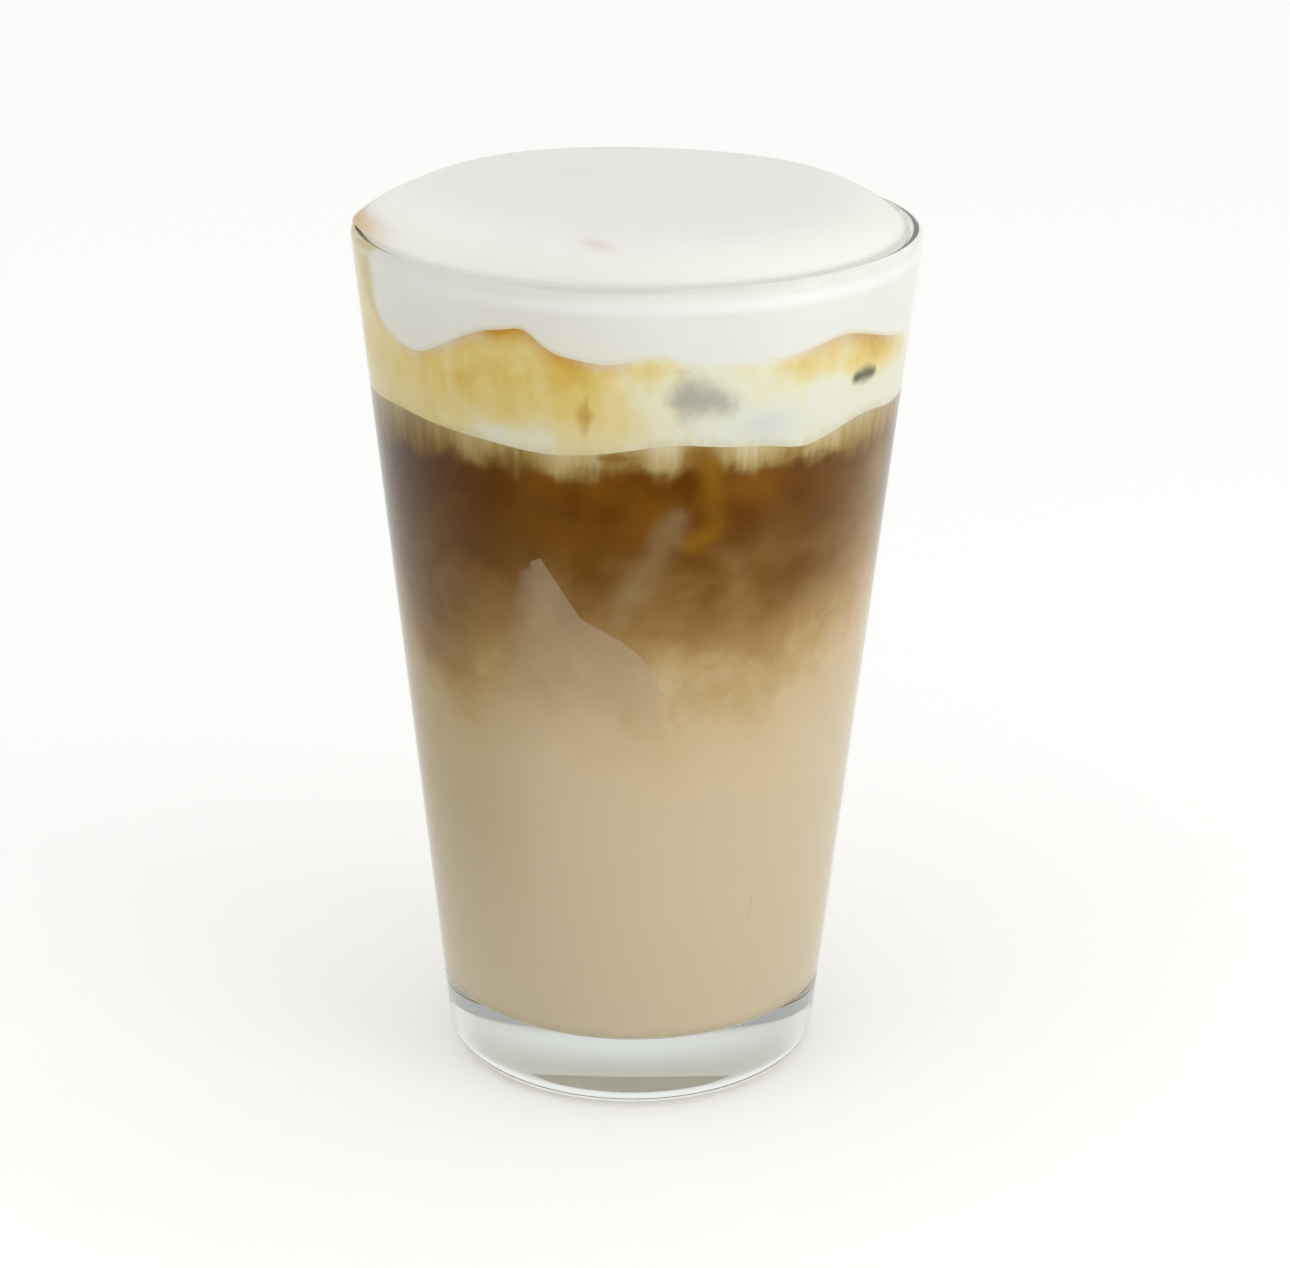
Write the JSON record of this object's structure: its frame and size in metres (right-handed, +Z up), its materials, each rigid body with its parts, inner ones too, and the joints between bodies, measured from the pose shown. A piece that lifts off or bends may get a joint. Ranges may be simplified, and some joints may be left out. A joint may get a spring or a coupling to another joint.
{
  "type": "iced latte",
  "caption": "Iced latte in a clear conical tumbler with a thick base: milky latte, dark coffee, a stained crema band and white milk foam domed over the rim.",
  "frame": {"origin": "middle of the glass's foot, on the surface that it stands on", "axes": "+Z up along the glass's axis; the drink's front, as the picture shows it, faces -Y"},
  "size_m": [0.088, 0.088, 0.145],
  "materials": {
    "clear_glass": "clear fire-polished soda-lime glass",
    "latte": "opaque milky coffee, wet",
    "coffee": "dark coffee with milk swirls, wet",
    "crema": "coffee-stained foam, satin",
    "milk_foam": "fine wet milk foam, satin"
  },
  "bodies": {
    "root": {"glass": "clear_glass", "latte": "latte", "coffee": "coffee", "crema": "crema", "foam": "milk_foam"}
  },
  "joints": []
}
